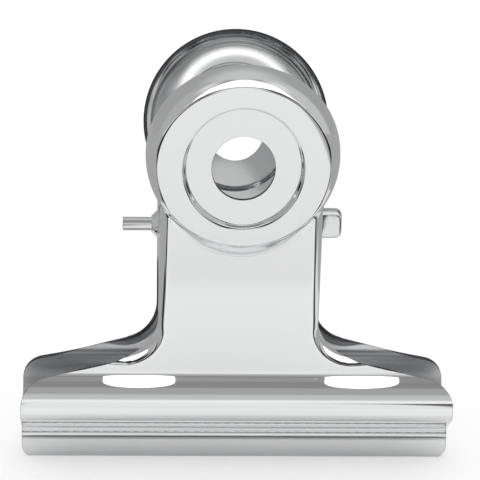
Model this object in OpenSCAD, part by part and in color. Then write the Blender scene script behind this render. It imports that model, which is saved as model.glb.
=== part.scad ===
// Bulldog clip: two pressed sheet steel plates that turn on one pin, held shut by a wound spring.
// X runs along the jaws, the front plate faces -Y, and the lips meet on the plane y = 0 at z = 0.

/* [Sheet] */
// Thickness of the sheet that both plates are pressed from
sheet_t = 0.5; // [0.4:0.05:0.6]
// Outward lean of each handle from upright, in degrees
lean = 14.5; // [11:0.5:17]

/* [Jaws] */
// Width of the jaws
jaw_w = 63; // [50:1:75]
// Height of the flat lip
lip_h = 2.55; // [2:0.05:3.5]
// Bend radius of the bead above the lip, to the middle of the sheet
bead_r = 0.55; // [0.5:0.05:0.7]
// Length of the jaw's flat underside
under_l = 7.25; // [6:0.05:8]
// Slope of the jaw's underside, in degrees
under_a = 24.5; // [20:0.5:30]
// Bend radius under the jaw's front
chin_r = 1.3; // [1:0.1:1.8]
// Height of the flat on the jaw's front
front_h = 0.5; // [0.4:0.05:1.2]
// Bend radius of the jaw's shoulder
shoulder_r = 5.2; // [4.4:0.1:5.8]
// Length of the flat between shoulder and neck
slope_l = 0.6; // [0.3:0.1:0.9]
// Bend radius where the shoulder turns up into the neck
valley_r = 1.4; // [1:0.1:1.8]
// Drop of a wing's top edge for each unit along it
wing_slope_share = 0.253; // [0.15:0.01:0.32]
// Radius of a wing's upper corner
wing_corner_r = 3.8; // [2.5:0.1:4.5]
// Radius of a lip's lower corner
lip_corner_r = 1.6; // [1:0.1:2.2]

/* [Neck] */
// Width of the neck over its flanges
neck_w = 23.3; // [22:0.1:25]
// Outer bend radius of the neck's flanges
neck_bend_r = 1.5; // [1.2:0.1:2]
// Depth of the flanges behind the neck's face
flange_d = 2.8; // [2.4:0.1:3.4]
// Height of the wings' inner ends above the foot of the neck
wing_rise = 1.6; // [1.2:0.1:2]
// Radius of the curve from neck to wing, at the flange's outer side
crotch_r = 5.5; // [4.5:0.1:6.5]

/* [Discs] */
// Height of a disc's centre above the foot of the neck, along the neck
disc_up = 33.9; // [32:0.1:36]
// Radius of a disc over the rim of its skirt
disc_r = 13.8; // [13:0.1:14.5]
// How far the skirt flares out from the face to the rim
disc_flare = 1.4; // [0.8:0.1:1.6]
// Radius of the edge between a disc's face and its skirt
disc_edge_r = 0.35; // [0.2:0.05:0.5]
// Height of a disc's face above the neck's face
disc_step = 1.3; // [0.9:0.1:1.6]
// How far the slope under a disc's face runs out onto the neck, at its middle
ramp_run = 2.4; // [1.8:0.1:2.8]
// How far the sunk ring and the hanging hole lie below a disc's centre
eye_drop = 0.5; // [0:0.1:0.8]
// Radius of the sunk ring in a disc's face
sink_r = 9.35; // [8.8:0.05:10]
// Depth of the sunk ring
sink_d = 0.8; // [0.6:0.1:1.1]
// Run of the sunk ring's sloping wall
sink_run = 0.5; // [0.3:0.1:0.9]
// Radius of the hanging hole
hole_r = 4.6; // [4:0.1:5.4]

/* [Hinge] */
// Height of the hinge pin above the lips
hinge_z = 35.3; // [34:0.1:36.5]
// Radius of the hinge pin
pin_r = 1; // [0.9:0.05:1.1]
// Radial clearance of the pin in the ears
pin_gap = 0.05; // [0.03:0.01:0.08]
// Length of the pin's tail beyond the left ear
tail_l = 5.2; // [3:0.1:7]
// Length of the pin's flattened head
head_l = 3.7; // [2.5:0.1:5]
// Height of the pin's flattened head
head_h = 4.4; // [3.4:0.1:5]
// Thickness of the pin's flattened head
head_t = 1.1; // [0.9:0.05:1.5]
// Corner radius of the pin's flattened head
head_corner_r = 0.9; // [0.6:0.1:1.2]
// Length over which the round rod runs out inside the flattened head
rod_fade_l = 1.4; // [1:0.1:2]
// Gap between the head and the ear
head_gap = 0.15; // [0.1:0.05:0.4]
// Radius of an ear's round end
ear_r = 2.6; // [2.3:0.1:3]
// Height of an ear where it leaves its flange
ear_root_h = 11; // [9:0.5:13]
// Clearance between a plate's inner ear and the other plate's outer ear
ear_gap = 0.12; // [0.08:0.01:0.3]
// Length of the flat on an inner ear, either side of the pin
ear_flat = 3.2; // [3:0.1:4]
// Depth over which an inner ear steps in from its flange
ear_joggle = 1.6; // [1.2:0.1:2.2]
// Length of the collar drawn around the pin on the left ear
collar_l = 1.5; // [0.8:0.1:1.8]
// Radius of the collar where it leaves the ear
collar_root_r = 2.3; // [1.9:0.05:2.5]
// Radius of the collar's lip
collar_lip_r = 1.45; // [1.35:0.05:1.6]

/* [Spring] */
// Diameter of the spring's wire
wire_d = 1.4; // [1.2:0.1:1.5]
// Radius of the coil, to the middle of the wire
coil_r = 2.9; // [2.7:0.1:3.2]
// Full turns of the coil between the legs
coil_turns = 7; // [5:1:8]
// Pitch of the coil
coil_pitch = 2; // [1.9:0.05:2.1]
// Length of each leg's end that lies along its handle
leg_pad_l = 3.4; // [2.5:0.1:4]
// Height of the legs' upper ends above the pin
leg_top = 6.4; // [5.8:0.1:6.8]
// Gap between a leg and the handle that it presses on
leg_gap = 0.1; // [0.05:0.05:0.2]

/* [Hidden] */
$fn = 64;

// One overrun serves every cut
over = sheet_t;

// The jaw's sheet as a fold list, from the lip's lower edge up: [flat length, turn, bend radius]
bead_turn_in = 50;
bead_turn_out = 100;
front_turn = 86 - under_a;
shoulder_turn = 46;
jaw_folds = [
    [lip_h, 0, 0],
    [0, -bead_turn_in, bead_r],
    [0, bead_turn_out, bead_r],
    [0, under_a - 90 + bead_turn_in - bead_turn_out, bead_r],
    [under_l, 0, 0],
    [0, front_turn, chin_r],
    [front_h, 0, 0],
    [0, shoulder_turn, shoulder_r],
    [slope_l, 0, 0],
    [0, 90 - lean - under_a - front_turn - shoulder_turn, valley_r]
];

// Place and heading after one fold, from its start: [out, z, heading]
function step_fold(p, s) =
    s[0] > 0 ? [p[0] + s[0] * cos(p[2]), p[1] + s[0] * sin(p[2]), p[2]]
    : let (r = sign(s[1]) * s[2], h = p[2] + s[1])
      [p[0] - r * sin(p[2]) + r * sin(h), p[1] + r * cos(p[2]) - r * cos(h), h];
function after_folds(n) = n == 0 ? [sheet_t / 2, 0, 90] : step_fold(after_folds(n - 1), jaw_folds[n - 1]);

// Foot of the neck on the middle of the sheet, and then on the neck's outer face
foot = after_folds(len(jaw_folds));
foot_out = foot[0] + sheet_t / 2 * cos(lean);
foot_z = foot[1] - sheet_t / 2 * sin(lean);

// Outline of the wings
neck_half = neck_w / 2;
crotch_u = neck_half + crotch_r;
wing_lean = atan(wing_slope_share);
crotch_turn = 90 - wing_lean;
wing_in_x = crotch_u - crotch_r * sin(wing_lean);
wing_in_v = wing_rise + crotch_r * (1 - cos(wing_lean));
wing_in_z = foot_z + wing_in_v * cos(lean);
wing_end_z = wing_in_z - wing_slope_share * (jaw_w / 2 - wing_in_x);
crotch_top_v = wing_rise + crotch_r;
flat_half = neck_half - neck_bend_r;
foot_lap = wing_rise / 4;

// The hinge axis in the plane of the handle, and the flange's edge at its height
face_out_at_hinge = foot_out + (hinge_z - foot_z) * tan(lean);
flange_out_at_hinge = face_out_at_hinge - flange_d / cos(lean);
pin_hole_r = pin_r + pin_gap;

// Points on an arc about c, from angle a0 to a1
function arc(c, r, a0, a1, n) = [for (i = [0:n]) let (a = a0 + (a1 - a0) * i / n) c + r * [cos(a), sin(a)]];
// Where the tangent from p touches the circle of radius r about c, on the side that s gives
function touch(p, c, r, s) =
    let (d = norm(p - c), a = atan2(p[1] - c[1], p[0] - c[0]) + s * acos(r / d)) c + r * [cos(a), sin(a)];

// Puts a child drawn in the handle's own frame in place: x across, z up the neck, -y outward
module on_handle() translate([0, -foot_out, foot_z]) rotate([lean, 0, 0]) children();
// Extrudes an outline drawn in (y, z) along x
module along_x(x0, x1) translate([x0, 0, 0]) rotate([90, 0, 90]) linear_extrude(x1 - x0) children();

// Both sides of the folded sheet in (y, z), up to the wings' inner ends
fold_step = 9;
function fold_run(i) =
    let (p = after_folds(i), s = jaw_folds[i], n = ceil(abs(s[1]) / fold_step))
    s[0] > 0 ? [step_fold(p, s)] : [for (k = [1:n]) step_fold(p, [0, s[1] * k / n, s[2]])];
fold_path = concat([after_folds(0)], [for (i = [0:len(jaw_folds) - 1]) each fold_run(i)],
    [step_fold(foot, [wing_in_v + foot_lap, 0, 0])]);
function beside(p, d) = [-p[0] + d * sin(p[2]), p[1] + d * cos(p[2])];
module fold_section() {
    n = len(fold_path) - 1;
    polygon(concat([for (i = [0:n]) beside(fold_path[i], sheet_t / 2)],
        [for (i = [n:-1:0]) beside(fold_path[i], -sheet_t / 2)]));
}

// Front view of the jaw: round lip corners, sloping wings with round upper corners
module jaw_outline() {
    half = jaw_w / 2;
    corner_z = wing_end_z - wing_corner_r * (1 / cos(wing_lean) - wing_slope_share);
    corner = [half - wing_corner_r, corner_z];
    lip_corner = [half - lip_corner_r, lip_corner_r];
    right = concat(
        arc(lip_corner, lip_corner_r, -90, 0, 6),
        arc(corner, wing_corner_r, 0, 90 - wing_lean, 8),
        [[wing_in_x, wing_in_z]]);
    polygon(concat(right, [for (i = [len(right) - 1:-1:0]) [-right[i][0], right[i][1]]]));
}

// The neck's or a fillet's section: flange and rounded edge, from the flange's outer side inward
module flange_section(side) {
    // side = 1 puts the sheet on the +x side of x = 0
    mirror([side > 0 ? 0 : 1, 0]) difference() {
        union() {
            translate([0, -flange_d]) square([sheet_t, flange_d - neck_bend_r]);
            intersection() {
                translate([neck_bend_r, -neck_bend_r]) circle(neck_bend_r);
                translate([0, -neck_bend_r]) square([neck_bend_r, neck_bend_r]);
            }
        }
        translate([neck_bend_r, -neck_bend_r]) circle(neck_bend_r - sheet_t);
    }
}

// Sheet of the jaw and wings
module jaw_sheet() {
    difference() {
        intersection() {
            along_x(-jaw_w / 2, jaw_w / 2) fold_section();
            translate([0, over, 0]) rotate([90, 0, 0])
                linear_extrude(2 * (foot_out + under_l)) jaw_outline();
        }
        for (s = [0, 1]) mirror([s, 0, 0]) on_handle() crotch_place()
            translate([0, 0, -neck_bend_r]) rotate_extrude(angle = crotch_turn)
                square([crotch_r + neck_bend_r, 2 * neck_bend_r]);
    }
}

// Centre of the curve between neck and right wing, turned so that angle 0 points at the neck
module crotch_place()
    translate([crotch_u, 0, crotch_top_v]) rotate([90, 0, 0]) rotate([0, 0, 180]) children();

// Flat of the neck's foot with the two stretches beside the crotch curves
module foot_sheet() {
    on_handle() rotate([90, 0, 0]) translate([0, 0, -sheet_t]) linear_extrude(sheet_t) difference() {
        translate([-wing_in_x, foot_lap]) square([2 * wing_in_x, crotch_top_v - foot_lap]);
        for (s = [-1, 1]) translate([s * crotch_u, crotch_top_v]) circle(crotch_r + neck_bend_r);
    }
}

// Flange that follows the crotch curve and fades out towards the wing
module crotch_flange() {
    intersection() {
        crotch_place() rotate_extrude(angle = crotch_turn)
            translate([crotch_r, 0]) flange_section(1);
        along_x(0, jaw_w / 2) polygon([
            [-over, 0], [sheet_t, 0], [flange_d, crotch_top_v], [-over, crotch_top_v]]);
    }
}

// Solid form of the neck, drawn in by d on every side
module neck_form(d) {
    r = neck_bend_r - d;
    w = neck_half - d;
    low = d > 0 ? over : 0;
    translate([0, 0, crotch_top_v]) linear_extrude(disc_up - crotch_top_v) {
        translate([-w, r + d]) square([2 * w, flange_d - r - d + low]);
        translate([-w + r, d]) square([2 * (w - r), flange_d - d]);
        for (s = [-1, 1]) translate([s * (w - r), r + d]) circle(r);
    }
}

// The skirt's radius and slope at height n above the neck's face, for the outline drawn in by d
skirt_h = disc_step + flange_d;
flare_power = 3;
skirt_rows = 6;
edge_rows = 3;
function skirt_slope(n) = flare_power * disc_flare / skirt_h * pow((n + flange_d) / skirt_h, flare_power - 1);
function skirt_r(n, d) =
    disc_r - disc_flare * pow((n + flange_d) / skirt_h, flare_power) - d * norm([1, skirt_slope(n)]);

// Outer outline of the disc, in (radius, height): rim, flared skirt, rounded edge, face
module disc_outline() {
    edge_a = atan(skirt_slope(disc_step));
    wall_top = disc_step - disc_edge_r * (1 - sin(edge_a));
    edge_c = [skirt_r(wall_top, 0) - disc_edge_r * cos(edge_a), disc_step - disc_edge_r];
    polygon(concat([[0, -flange_d]],
        [for (i = [0:skirt_rows - 1]) let (n = -flange_d + (wall_top + flange_d) * i / skirt_rows) [skirt_r(n, 0), n]],
        arc(edge_c, disc_edge_r, edge_a, 90, edge_rows),
        [[0, disc_step]]));
}

// Inner outline of the disc, one sheet thickness in, run on past the rim
module disc_inside() {
    top = disc_step - sheet_t;
    polygon(concat([[0, -flange_d - over], [skirt_r(-flange_d, sheet_t), -flange_d - over]],
        [for (i = [0:skirt_rows]) let (n = -flange_d + (top + flange_d) * i / skirt_rows) [skirt_r(n, sheet_t), n]],
        [[0, top]]));
}

// Puts a child drawn as (across, up, outward) at a height up the handle
module on_disc(up) translate([0, 0, up]) rotate([90, 0, 0]) children();

// Solid form of the disc, drawn in by d on every side
module disc_form(d) {
    on_disc(disc_up) rotate_extrude() {
        if (d > 0) disc_inside();
        else disc_outline();
    }
}

// Slope that carries the disc's lower edge out onto the neck: a cone whose foot meets the skirt at
// the sides of the neck's flat, drawn in by d
foot_reach = disc_r - disc_flare + ramp_run;
skirt_foot = skirt_r(0, 0);
ramp_side_v = sqrt(skirt_foot * skirt_foot - flat_half * flat_half);
ramp_drop = (foot_reach * foot_reach - skirt_foot * skirt_foot) / (foot_reach - ramp_side_v) / 2;
ramp_top = disc_step - disc_edge_r;
ramp_a = atan(disc_step / (ramp_run + disc_edge_r));
module ramp_form(d) {
    low = d > 0 ? over : sheet_t / 2;
    foot_r = foot_reach - ramp_drop - d * tan(ramp_a / 2);
    on_disc(disc_up - ramp_drop) rotate_extrude() polygon([
        [0, -d - low], [foot_r, -d - low], [foot_r, -d],
        [foot_r - ramp_top / tan(ramp_a), ramp_top - d], [0, ramp_top - d]]);
}

// Cup of the sunk ring, made larger by d
module cup_form(d) {
    cup_r = sink_r + d;
    on_disc(disc_up - eye_drop) {
        translate([0, 0, disc_step - sink_d - d]) cylinder(r1 = cup_r - sink_run, r2 = cup_r, h = sink_d);
        if (d > 0) translate([0, 0, disc_step - d]) cylinder(r = cup_r, h = over);
    }
}

// Neck flanges, disc face, slope, sunk ring and skirt
module handle_sheet() {
    on_handle() difference() {
        union() { neck_form(0); disc_form(0); ramp_form(0); }
        cup_form(0);
        difference() {
            union() { neck_form(sheet_t); disc_form(sheet_t); ramp_form(sheet_t); }
            cup_form(sheet_t);
        }
        on_disc(disc_up - eye_drop) translate([0, 0, -flange_d]) cylinder(r = hole_r, h = flange_d + disc_step + over);
    }
}

// Side view of an ear, in (y, z), from inside the flange to the round end about the pin
module ear_outline(hole) {
    c = [0, hinge_z];
    root = -flange_out_at_hinge - sheet_t;
    rise = ear_root_h / 2;
    low = [root + rise * tan(lean), hinge_z - rise];
    high = [root - rise * tan(lean), hinge_z + rise];
    difference() {
        union() {
            polygon([low, touch(low, c, ear_r, 1), c, touch(high, c, ear_r, -1), high]);
            translate(c) circle(ear_r);
        }
        if (hole) translate(c) circle(pin_hole_r);
    }
}

// Outer ear on the left, in line with its flange, with its hole drawn out into a collar
module outer_ear(collar) {
    along_x(-neck_half, -neck_half + sheet_t) ear_outline(true);
    if (collar) difference() {
        translate([-neck_half - collar_l, 0, hinge_z]) rotate([0, 90, 0])
            cylinder(r1 = collar_lip_r, r2 = collar_root_r, h = collar_l + sheet_t / 2);
        translate([-neck_half - collar_l - over, 0, hinge_z]) rotate([0, 90, 0])
            cylinder(r = pin_hole_r, h = collar_l + 2 * over);
    }
}

// Inner ear on the right, stepped in to lie inside the other plate's outer ear
module inner_ear() {
    x_in = neck_half - 2 * sheet_t - ear_gap;
    y_step = -ear_flat;
    y_root = y_step - ear_joggle;
    y_back = -flange_out_at_hinge - sheet_t - ear_root_h / 2 * tan(lean);
    intersection() {
        translate([0, 0, hinge_z - ear_root_h / 2]) linear_extrude(ear_root_h) polygon([
            [x_in, ear_r], [x_in, y_step], [neck_half - sheet_t, y_root], [neck_half - sheet_t, y_back],
            [neck_half, y_back], [neck_half, y_root], [x_in + sheet_t, y_step], [x_in + sheet_t, ear_r]]);
        along_x(0, neck_w) ear_outline(true);
    }
}

module plate(collar) {
    jaw_sheet();
    foot_sheet();
    for (s = [0, 1]) mirror([s, 0, 0]) on_handle() crotch_flange();
    handle_sheet();
    outer_ear(collar);
    inner_ear();
}

module front_plate() color([0.80, 0.81, 0.83]) plate(true);

module rear_plate() color([0.72, 0.73, 0.75]) rotate([0, 0, 180]) plate(false);

// Round pin with a plain tail on the left and a flattened head on the right
fade_share = 0.4;
module hinge_pin() color([0.66, 0.67, 0.70]) {
    tail_x = -neck_half - tail_l;
    head_x = neck_half + head_gap;
    translate([tail_x, 0, hinge_z]) rotate([0, 90, 0]) cylinder(r = pin_r, h = head_x - tail_x);
    translate([head_x, 0, hinge_z]) rotate([0, 90, 0])
        cylinder(r1 = pin_r, r2 = head_t * fade_share, h = rod_fade_l);
    intersection() {
        translate([head_x, head_t / 2, hinge_z]) rotate([90, 0, 0]) linear_extrude(head_t) {
            translate([0, -head_h / 2]) square([head_l - head_corner_r, head_h]);
            translate([0, -head_h / 2 + head_corner_r]) square([head_l, head_h - 2 * head_corner_r]);
            for (s = [-1, 1]) translate([head_l - head_corner_r, s * (head_h / 2 - head_corner_r)])
                circle(head_corner_r);
        }
        translate([head_x, 0, hinge_z]) rotate([0, 90, 0]) cylinder(r = head_h / 2 + head_t / 4, h = head_l);
    }
}

// Route of the spring's wire: up along the front handle, round the pin, up along the rear handle
wire_r = wire_d / 2;
pad_in = sheet_t + leg_gap + wire_r;
// A point on the pad line of the rear handle, at height z: [y, z]
function pad_point(z) = [foot_out + (z - foot_z) * tan(lean) - pad_in / cos(lean), z];
hub = [0, hinge_z];
pad_top = pad_point(hinge_z + leg_top);
pad_low = pad_point(hinge_z + leg_top - leg_pad_l * cos(lean));
rear_leave = touch(pad_low, hub, coil_r, -1);
leave_a = atan2(rear_leave[1] - hub[1], rear_leave[0] - hub[0]);
wrap_a = 360 * coil_turns + 180 + 2 * leave_a;
coil_half = coil_pitch * wrap_a / 720;
rings_a_turn = 8;
wire_sides = 6;
coil_rings = round(rings_a_turn * wrap_a / 360);
bend_share = 0.16;
leg_points = concat(
    [[coil_half, rear_leave[0], rear_leave[1]]],
    [for (k = [1 - bend_share, 1]) concat([coil_half], rear_leave + k * (pad_low - rear_leave))],
    [for (k = [bend_share, 1]) concat([coil_half], pad_low + k * (pad_top - pad_low))]);
route = concat(
    [for (i = [len(leg_points) - 1:-1:1]) [-leg_points[i][0], -leg_points[i][1], leg_points[i][2]]],
    [for (i = [0:coil_rings]) let (k = i / coil_rings, a = 180 - leave_a + wrap_a * k)
        [coil_half * (2 * k - 1), hub[0] + coil_r * cos(a), hub[1] + coil_r * sin(a)]],
    [for (i = [1:len(leg_points) - 1]) leg_points[i]]);

// Rings of wire_sides points square to the route
function unit(v) = v / norm(v);
function heading(i) =
    unit(unit(route[min(i + 1, len(route) - 1)] - route[i == len(route) - 1 ? i - 1 : i])
       + unit(route[i == 0 ? 1 : i] - route[max(i - 1, 0)]));
function ring(i) =
    let (h = heading(i), a = unit([1, 0, 0] - h[0] * h), b = cross(h, a))
    [for (k = [0:wire_sides - 1]) route[i] + wire_r * (cos(360 * k / wire_sides) * a + sin(360 * k / wire_sides) * b)];

// Least gap between turns, measured on the coil's own points
coil_first = len(leg_points) - 1;
turn_gap = min([for (i = [coil_first:coil_first + coil_rings - rings_a_turn])
    for (j = [i + rings_a_turn - 2:min(i + rings_a_turn + 2, coil_first + coil_rings)])
        norm(route[j] - route[i]) - wire_d]);
echo(least_gap_between_turns = turn_gap);

module torsion_spring() color([0.55, 0.56, 0.58]) {
    n = len(route);
    points = [for (i = [0:n - 1]) each ring(i)];
    sides = [for (i = [0:n - 2]) for (k = [0:wire_sides - 1])
        let (a = i * wire_sides + k, b = i * wire_sides + (k + 1) % wire_sides)
        each [[a, a + wire_sides, b], [b, a + wire_sides, b + wire_sides]]];
    first = [for (k = [0:wire_sides - 1]) k];
    last = [for (k = [wire_sides - 1:-1:0]) (n - 1) * wire_sides + k];
    polyhedron(points, concat(sides, [first, last]));
}

front_plate();
rear_plate();
hinge_pin();
torsion_spring();
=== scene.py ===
import math

import bpy
import numpy as np
from mathutils import Matrix, Quaternion, Vector
from mathutils.geometry import delaunay_2d_cdt


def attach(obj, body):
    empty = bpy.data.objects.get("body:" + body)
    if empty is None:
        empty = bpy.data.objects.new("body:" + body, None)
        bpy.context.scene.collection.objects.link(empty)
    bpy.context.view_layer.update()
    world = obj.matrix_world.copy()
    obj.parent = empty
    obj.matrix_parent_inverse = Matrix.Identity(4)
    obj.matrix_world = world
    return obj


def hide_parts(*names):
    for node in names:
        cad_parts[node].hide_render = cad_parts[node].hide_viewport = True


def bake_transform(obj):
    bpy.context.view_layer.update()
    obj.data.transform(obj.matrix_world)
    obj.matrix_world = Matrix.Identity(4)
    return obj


MM = 0.001

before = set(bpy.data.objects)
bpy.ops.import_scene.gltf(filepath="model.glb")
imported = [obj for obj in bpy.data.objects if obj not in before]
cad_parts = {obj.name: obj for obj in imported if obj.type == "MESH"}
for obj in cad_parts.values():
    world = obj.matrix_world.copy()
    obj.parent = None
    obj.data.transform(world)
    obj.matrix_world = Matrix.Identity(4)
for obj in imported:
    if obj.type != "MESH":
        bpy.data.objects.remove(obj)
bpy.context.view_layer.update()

# sizes, in millimetres
SHEET = 0.5
LEAN = math.radians(14.5)
COS, SIN = math.cos(LEAN), math.sin(LEAN)
JAW_HALF = 31.5
UNDER = 24.5
FOLDS = [
    (2.55, 0, 0),
    (0, -50, 0.55),
    (0, 100, 0.55),
    (0, UNDER - 90 + 50 - 100, 0.55),
    (7.25, 0, 0),
    (0, 86 - UNDER, 1.3),
    (0.5, 0, 0),
    (0, 46, 5.2),
    (0.6, 0, 0),
    (0, 90 - 14.5 - 86 - 46, 1.4),
]
WING_SLOPE = 0.253
WING_CORNER = 3.8
LIP_CORNER = 1.6
NECK_HALF = 11.65
NECK_BEND = 1.5
FLANGE = 2.8
WING_RISE = 1.6
CROTCH = 5.5
DISC_UP = 33.58
DISC_R = 13.8
FLARE = 1.45
DISC_STEP = 1.3
EDGE_SOFT = 0.16
RIM_SHIFT = 0.3
RAMP_RUN = 2.2
EYE_DROP = 0.3
OVAL = 1.11
HOLE_R = 5.05
HOLE_DROP = 0.17
HINGE_Z = 35.3
PIN_R = 1.0
PIN_GAP = 0.05
HEAD_RISE = 0.3
# spans along the sheet, in s, of the two grooves by the lip's bead, where a dark chrome is laid on as
# painted shade
GROOVE_SHADE_SPANS = ((3.0, 3.36), (3.93, 4.05))
# height below which the inner faces, between the jaws, get the darker chrome as painted shade
JAW_TOP = 21.0
EAR_R = 2.6
EAR_RISE = 5.5
EAR_GAP = 0.12
STEP_BLEND = 0.45
# where the wing's turned-down edge starts, in x; where the disc's junction with the neck starts
# below the fillet, and ends round the disc
EDGE_START = 20.5
JOIN_LOW = 1.2
JOIN_END = math.radians(-24)
LAMP_R = 19.4
LAMP_SPAN = 56


# the folded sheet
class Profile:
    """Middle line of the folded sheet, by the length s along it from the lip's lower edge."""

    def __init__(self):
        self.runs = []
        s, out, z, h = 0.0, SHEET / 2, 0.0, math.pi / 2
        self.rows = [0.0]
        for flat, turn, r in FOLDS:
            if flat:
                self.runs.append((s, flat, out, z, h, 0.0))
                out += flat * math.cos(h)
                z += flat * math.sin(h)
                s += flat
                self.rows.append(s)
            else:
                a = math.radians(turn)
                k = math.copysign(1 / r, a)
                length = abs(a) * r
                self.runs.append((s, length, out, z, h, k))
                n = max(3, math.ceil(abs(turn) / 6))
                self.rows += [s + length * (i + 1) / n for i in range(n)]
                out += (math.sin(h + a) - math.sin(h)) / k
                z += (math.cos(h) - math.cos(h + a)) / k
                h += a
                s += length
        self.foot = s
        self.runs.append((s, 1e9, out, z, h, 0.0))

    def at(self, s):
        """Out, z and heading at s."""
        for s0, length, out, z, h, k in self.runs:
            if s <= s0 + length + 1e-9:
                break
        d = s - s0
        if k == 0:
            return out + d * math.cos(h), z + d * math.sin(h), h
        g = h + k * d
        return out + (math.sin(g) - math.sin(h)) / k, z + (math.cos(h) - math.cos(g)) / k, g

    def s_of_z(self, z):
        """The length up the sheet at which it reaches z."""
        lo, hi = 0.0, self.foot + 60
        for _ in range(50):
            mid = (lo + hi) / 2
            if self.at(mid)[1] < z:
                lo = mid
            else:
                hi = mid
        return (lo + hi) / 2


PROFILE = Profile()
FOOT_OUT = PROFILE.at(PROFILE.foot)[0] + SHEET / 2 * COS
FOOT_Z = PROFILE.at(PROFILE.foot)[1] - SHEET / 2 * SIN


def handle(x, n, v):
    """Front plate: x across, n outwards from the neck's face, v up the neck from its foot."""
    return np.array([x, -FOOT_OUT - n * COS - v * SIN, FOOT_Z - n * SIN + v * COS])


def handle_turn(d):
    """A direction given in the handle's own x, n, v."""
    return np.array([d[0], -d[1] * COS - d[2] * SIN, -d[1] * SIN + d[2] * COS])


def to_handle(y, z):
    """The n and v of a place in the frame's own y and z."""
    y, z = y + FOOT_OUT, z - FOOT_Z
    return -(y * COS + z * SIN), -y * SIN + z * COS


def ease(k):
    """Slow start and slow end between 0 and 1."""
    k = min(max(k, 0.0), 1.0)
    return k * k * (3 - 2 * k)


def face_point(x, s):
    """Outer face of the folded sheet: place, outward normal and the direction up along the sheet."""
    out, z, h = PROFILE.at(s)
    normal = np.array([0, -math.sin(h), -math.cos(h)])
    up = np.array([0, -math.cos(h), math.sin(h)])
    p = np.array([x, -out, z]) + SHEET / 2 * normal
    return p, normal, up


# the disc's own section
def disc_profile():
    """Height over the neck's face, and slope, against radius: sunk floor, its wall, the face."""
    floor, top, r_in, r_out, run = 0.5, DISC_STEP, 0.25, 0.5, 8.93
    pts = []
    slope = math.radians(66)
    n = 7
    for i in range(n + 1):
        a = slope * i / n
        pts.append((run + r_in * math.sin(a), floor + r_in * (1 - math.cos(a)), math.tan(a)))
    straight = top - floor - (r_in + r_out) * (1 - math.cos(slope))
    x1 = pts[-1][0] + straight / math.tan(slope)
    z1 = pts[-1][1] + straight
    cb = (x1 + r_out * math.sin(slope), z1 - r_out * math.cos(slope))
    for i in range(n + 1):
        a = slope * (1 - i / n)
        pts.append((cb[0] - r_out * math.sin(a), cb[1] + r_out * math.cos(a), math.tan(a)))
    return floor, pts


SINK_FLOOR, SINK = disc_profile()
RING_RADII = [HOLE_R + 0.5, 7.0, 8.5] + [p[0] for p in SINK]


def eye(x, v):
    """Radius about the hanging hole, which is a little taller than wide."""
    return math.hypot(x * OVAL, v - DISC_UP + EYE_DROP)


def eye_ring(r, drop=0.0, n=96):
    """A closed ring about the hanging hole, in x and s."""
    v = PROFILE.foot + DISC_UP - EYE_DROP - drop
    return [(r / OVAL * math.cos(a), v + r * math.sin(a))
            for a in np.linspace(0, 2 * math.pi, n + 1)]


def dish(rho):
    """Height and slope of the disc's sunk middle at radius rho."""
    if rho <= SINK[0][0]:
        return SINK_FLOOR, 0.0
    for a, b in zip(SINK, SINK[1:]):
        if rho <= b[0]:
            k = (rho - a[0]) / max(b[0] - a[0], 1e-9)
            return a[1] + k * (b[1] - a[1]), a[2] + k * (b[2] - a[2])
    return DISC_STEP, 0.0


DEEP = DISC_STEP + FLANGE


def skirt(n):
    """Radius and flare of the disc's skirt at height n."""
    k = (n + FLANGE) / DEEP
    return DISC_R - FLARE * k ** 3, 3 * FLARE * k * k / DEEP


# the slope under the disc: a cone whose foot meets the skirt at the sides of the neck's flat
FACE_R = DISC_R - FLARE
RAMP_REACH = FACE_R + RAMP_RUN
RAMP_SIDE = math.sqrt(skirt(0)[0] ** 2 - (NECK_HALF - NECK_BEND) ** 2)
RAMP_DROP = (RAMP_REACH ** 2 - skirt(0)[0] ** 2) / (RAMP_REACH - RAMP_SIDE) / 2
RAMP_FOOT = RAMP_REACH - RAMP_DROP
RAMP_ANGLE = math.atan(DISC_STEP / RAMP_RUN)


def rounded(u, w, r):
    """Distance to a form with a flat top at w = 0, a side at u = 0 and an edge of radius r."""
    a, b = u + r, w + r
    return math.hypot(max(a, 0), max(b, 0)) + min(max(a, b), 0) - r


def soft_min(a, b, h):
    """The nearer of two forms, with a fillet about h wide between them."""
    k = max(h - abs(a - b), 0) / h
    return min(a, b) - k * k * h / 4


def body_form(p):
    """Distance to the solid outline of disc, slope and neck, with small fillets where they meet."""
    x, n, v = p
    w = n - DISC_STEP
    rho = math.hypot(x, v - DISC_UP + RIM_SHIFT * w / DEEP)
    r, flare = skirt(min(n, DISC_STEP))
    disc = rounded((rho - r) / math.hypot(1, flare), w, EDGE_SOFT)
    out = math.hypot(x, v - DISC_UP + RAMP_DROP) - RAMP_FOOT
    ramp = max(out * math.sin(RAMP_ANGLE) + n * math.cos(RAMP_ANGLE), out)
    ramp = rounded(ramp, w, 0.3)
    neck = rounded(abs(x) - NECK_HALF, n, NECK_BEND) + max(0.0, v - DISC_UP)
    return soft_min(soft_min(disc, ramp, 0.15), neck, STEP_BLEND)


def form_gradient(p):
    """Outward direction of the form at p."""
    g = np.zeros(3)
    for i in range(3):
        d = np.zeros(3)
        d[i] = 1e-4
        g[i] = (body_form(p + d) - body_form(p - d)) / 2e-4
    return g / max(np.linalg.norm(g), 1e-9)


def cast(start, way, reach):
    """Where a ray from inside the form leaves it, and the normal there."""
    lo, hi = 0.0, reach
    for _ in range(24):
        mid = (lo + hi) / 2
        if body_form(start + mid * way) < 0:
            lo = mid
        else:
            hi = mid
    p = start + lo * way
    return p, form_gradient(p)


def on_top(x, v):
    """The form's upper face over x, v."""
    return cast(np.array([x, -1.6, v]), np.array([0, 1.0, 0]), 3.2)


# outline of the flat pattern
def arc(cx, cy, r, a0, a1, n):
    return [(cx + r * math.cos(a0 + (a1 - a0) * i / n), cy + r * math.sin(a0 + (a1 - a0) * i / n))
            for i in range(n + 1)]


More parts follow.
